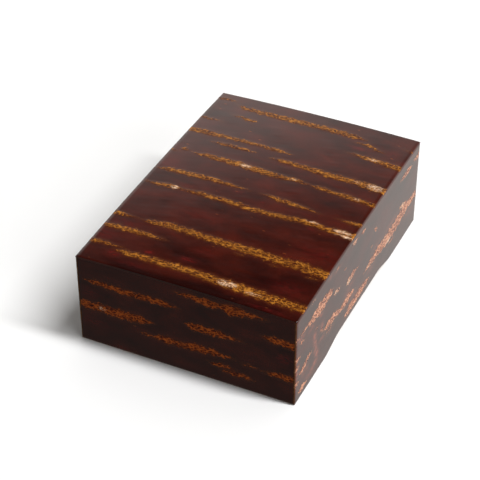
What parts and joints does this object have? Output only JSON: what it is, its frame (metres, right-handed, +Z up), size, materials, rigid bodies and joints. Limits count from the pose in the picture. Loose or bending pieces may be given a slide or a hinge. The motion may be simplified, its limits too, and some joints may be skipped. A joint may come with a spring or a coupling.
{
  "type": "lidded wooden box",
  "caption": "Flat rectangular wooden box covered in polished streaked cherry bark; a full-depth crowned lid with a low finger notch in each long side lifts off an inner box.",
  "frame": {"origin": "middle of the underside, which is the lowest and largest flat face of the inner box", "axes": "+X across the width, +Y along the length away from the front short side, +Z up towards the lid"},
  "size_m": [0.085, 0.12, 0.0396],
  "materials": {
    "streaked_bark": "deep red-brown polished cherry bark with raised golden lenticel streaks, glossy",
    "plain_bark": "plain red-brown cherry bark with fine short lenticels, satin polish",
    "core_wood": "pale straight-grained magnolia wood, planed and oiled",
    "bamboo": "split bamboo, planed"
  },
  "bodies": {
    "box": {"box_base_board": "core_wood", "box_front_wall": "core_wood", "box_right_wall": "core_wood", "box_back_wall": "core_wood", "box_left_wall": "core_wood", "base_peg_front_1": "bamboo", "base_peg_right_1": "bamboo", "base_peg_right_2": "bamboo", "base_peg_back_1": "bamboo", "base_peg_left_1": "bamboo", "base_peg_left_2": "bamboo", "box_base_bark": "plain_bark", "box_floor_bark": "plain_bark", "box_front_bark": "plain_bark", "box_right_bark": "plain_bark", "box_back_bark": "plain_bark", "box_left_bark": "plain_bark"},
    "lid": {"lid_top_board": "core_wood", "lid_front_wall": "core_wood", "lid_right_wall": "core_wood", "lid_back_wall": "core_wood", "lid_left_wall": "core_wood", "lid_top_bark": "streaked_bark", "lid_front_bark": "streaked_bark", "lid_right_bark": "streaked_bark", "lid_back_bark": "streaked_bark", "lid_left_bark": "streaked_bark"}
  },
  "joints": [
    {"name": "lid_lift", "type": "slide", "parent": "box", "child": "lid", "axis": [0, 0, 1], "range_m": [0, 0.045]}
  ]
}
